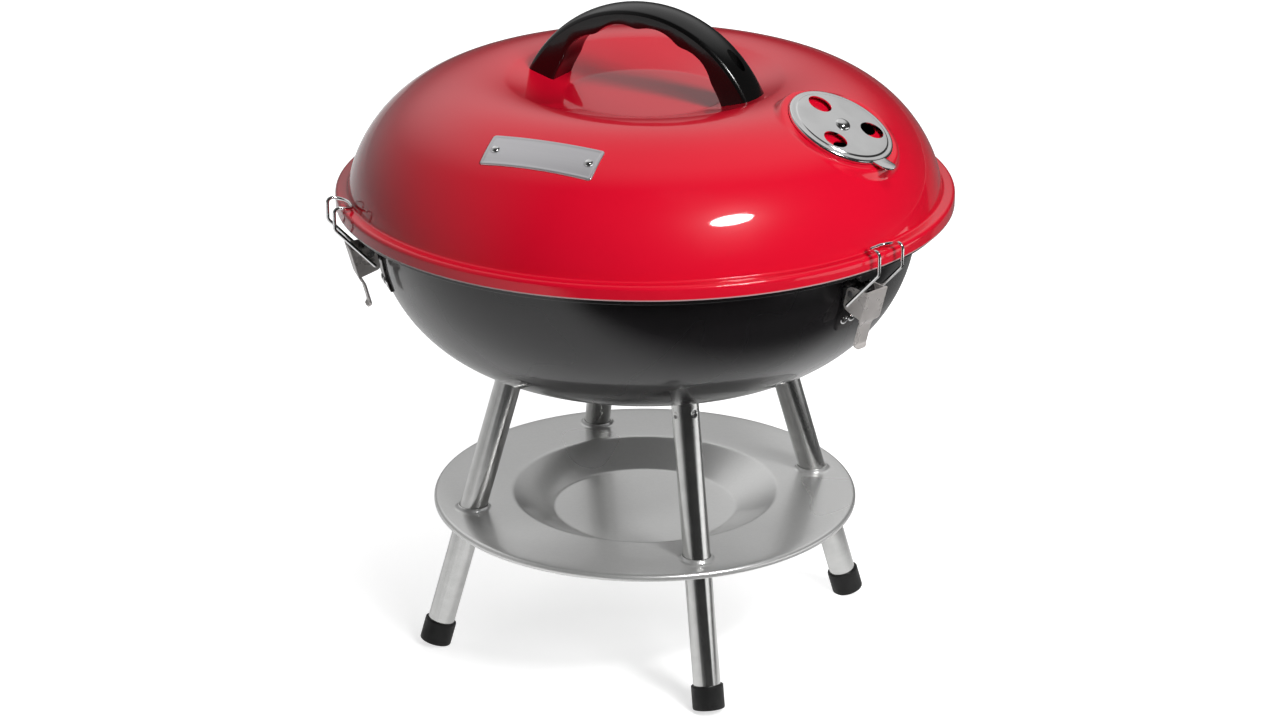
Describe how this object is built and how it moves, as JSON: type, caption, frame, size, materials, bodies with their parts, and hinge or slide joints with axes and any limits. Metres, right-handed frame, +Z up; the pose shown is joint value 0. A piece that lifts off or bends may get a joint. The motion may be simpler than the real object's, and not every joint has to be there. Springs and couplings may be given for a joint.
{
  "type": "portable kettle grill",
  "caption": "Portable tabletop kettle grill: domed lid with arched handle and turning vent, round bowl with toggle latches, splayed tubular legs and an ash catcher.",
  "frame": {"origin": "on the table plane, on the axis of the bowl, midway between the four feet", "axes": "+Z up; +X along the handle towards the lid vent; +Y completes a right-handed set"},
  "size_m": [0.3593, 0.3593, 0.3825],
  "materials": {
    "red_enamel": "gloss",
    "black_enamel": "gloss",
    "black_plastic": "gloss",
    "chrome": "polished",
    "bare_badge": "brushed",
    "steel": "satin",
    "grey_paint": "satin",
    "foot_rubber": "matte"
  },
  "bodies": {
    "bowl": {"bowl_shell": "black_enamel", "bowl_vent_rivet": "chrome", "grate_rests": "steel", "charcoal_grate": "steel", "latch_bases": "chrome", "latch_rivets": "steel", "latch_pins": "steel", "leg_1": "chrome", "leg_2": "chrome", "leg_3": "chrome", "leg_4": "chrome", "leg_plugs": "steel", "leg_bolts": "steel", "leg_washers": "steel", "ash_catcher": "grey_paint", "foot_cap_1": "foot_rubber", "foot_cap_2": "foot_rubber", "foot_cap_3": "foot_rubber", "foot_cap_4": "foot_rubber"},
    "lid": {"lid_shell": "red_enamel", "lid_handle": "black_plastic", "handle_screws": "steel", "handle_washers": "steel", "handle_nuts": "steel", "badge_plate": "bare_badge", "badge_rivets": "steel", "lid_vent_rivet": "chrome"},
    "grate": {"cooking_grate": "chrome"},
    "lid_vent": {"lid_vent_disc": "chrome"},
    "bowl_vent": {"bowl_vent_disc": "chrome"},
    "lever_1": {"latch_lever_1": "chrome"},
    "bail_1": {"latch_bail_1": "chrome"},
    "lever_2": {"latch_lever_2": "chrome"},
    "bail_2": {"latch_bail_2": "chrome"},
    "lever_3": {"latch_lever_3": "chrome"},
    "bail_3": {"latch_bail_3": "chrome"}
  },
  "joints": [
    {"name": "lid_lift", "type": "slide", "parent": "bowl", "child": "lid", "axis": [0, 0, 1], "range_m": [0, 0.25]},
    {"name": "grate_lift", "type": "slide", "parent": "bowl", "child": "grate", "axis": [0, 0, 1], "range_m": [0, 0.04]},
    {"name": "lid_vent_turn", "type": "hinge", "parent": "lid", "child": "lid_vent", "pos_m": [0.12734, -0.0089, 0.33018], "axis": [0.4486, -0.0314, 0.8932], "continuous": true},
    {"name": "bowl_vent_turn", "type": "hinge", "parent": "bowl", "child": "bowl_vent", "pos_m": [0, 0, 0.1661], "axis": [0, 0, 1], "continuous": true},
    {"name": "lever_1_pivot", "type": "hinge", "parent": "bowl", "child": "lever_1", "pos_m": [-0.11575, -0.11575, 0.252], "axis": [-0.7071, 0.7071, 0], "range_deg": [0, 100]},
    {"name": "bail_1_pivot", "type": "hinge", "parent": "lever_1", "child": "bail_1", "pos_m": [-0.11406, -0.11406, 0.2445], "axis": [-0.7071, 0.7071, 0], "range_deg": [-100, 0]},
    {"name": "lever_2_pivot", "type": "hinge", "parent": "bowl", "child": "lever_2", "pos_m": [0.15812, -0.04237, 0.252], "axis": [-0.2588, -0.9659, 0], "range_deg": [0, 100]},
    {"name": "bail_2_pivot", "type": "hinge", "parent": "lever_2", "child": "bail_2", "pos_m": [0.1558, -0.04175, 0.2445], "axis": [-0.2588, -0.9659, 0], "range_deg": [-100, 0]},
    {"name": "lever_3_pivot", "type": "hinge", "parent": "bowl", "child": "lever_3", "pos_m": [-0.04237, 0.15812, 0.252], "axis": [0.9659, 0.2588, 0], "range_deg": [0, 100]},
    {"name": "bail_3_pivot", "type": "hinge", "parent": "lever_3", "child": "bail_3", "pos_m": [-0.04175, 0.1558, 0.2445], "axis": [0.9659, 0.2588, 0], "range_deg": [-100, 0]}
  ],
  "couplings": [
    {"joint": "bail_1_pivot", "follows": "lever_1_pivot", "ratio": -1},
    {"joint": "bail_2_pivot", "follows": "lever_2_pivot", "ratio": -1},
    {"joint": "bail_3_pivot", "follows": "lever_3_pivot", "ratio": -1}
  ]
}
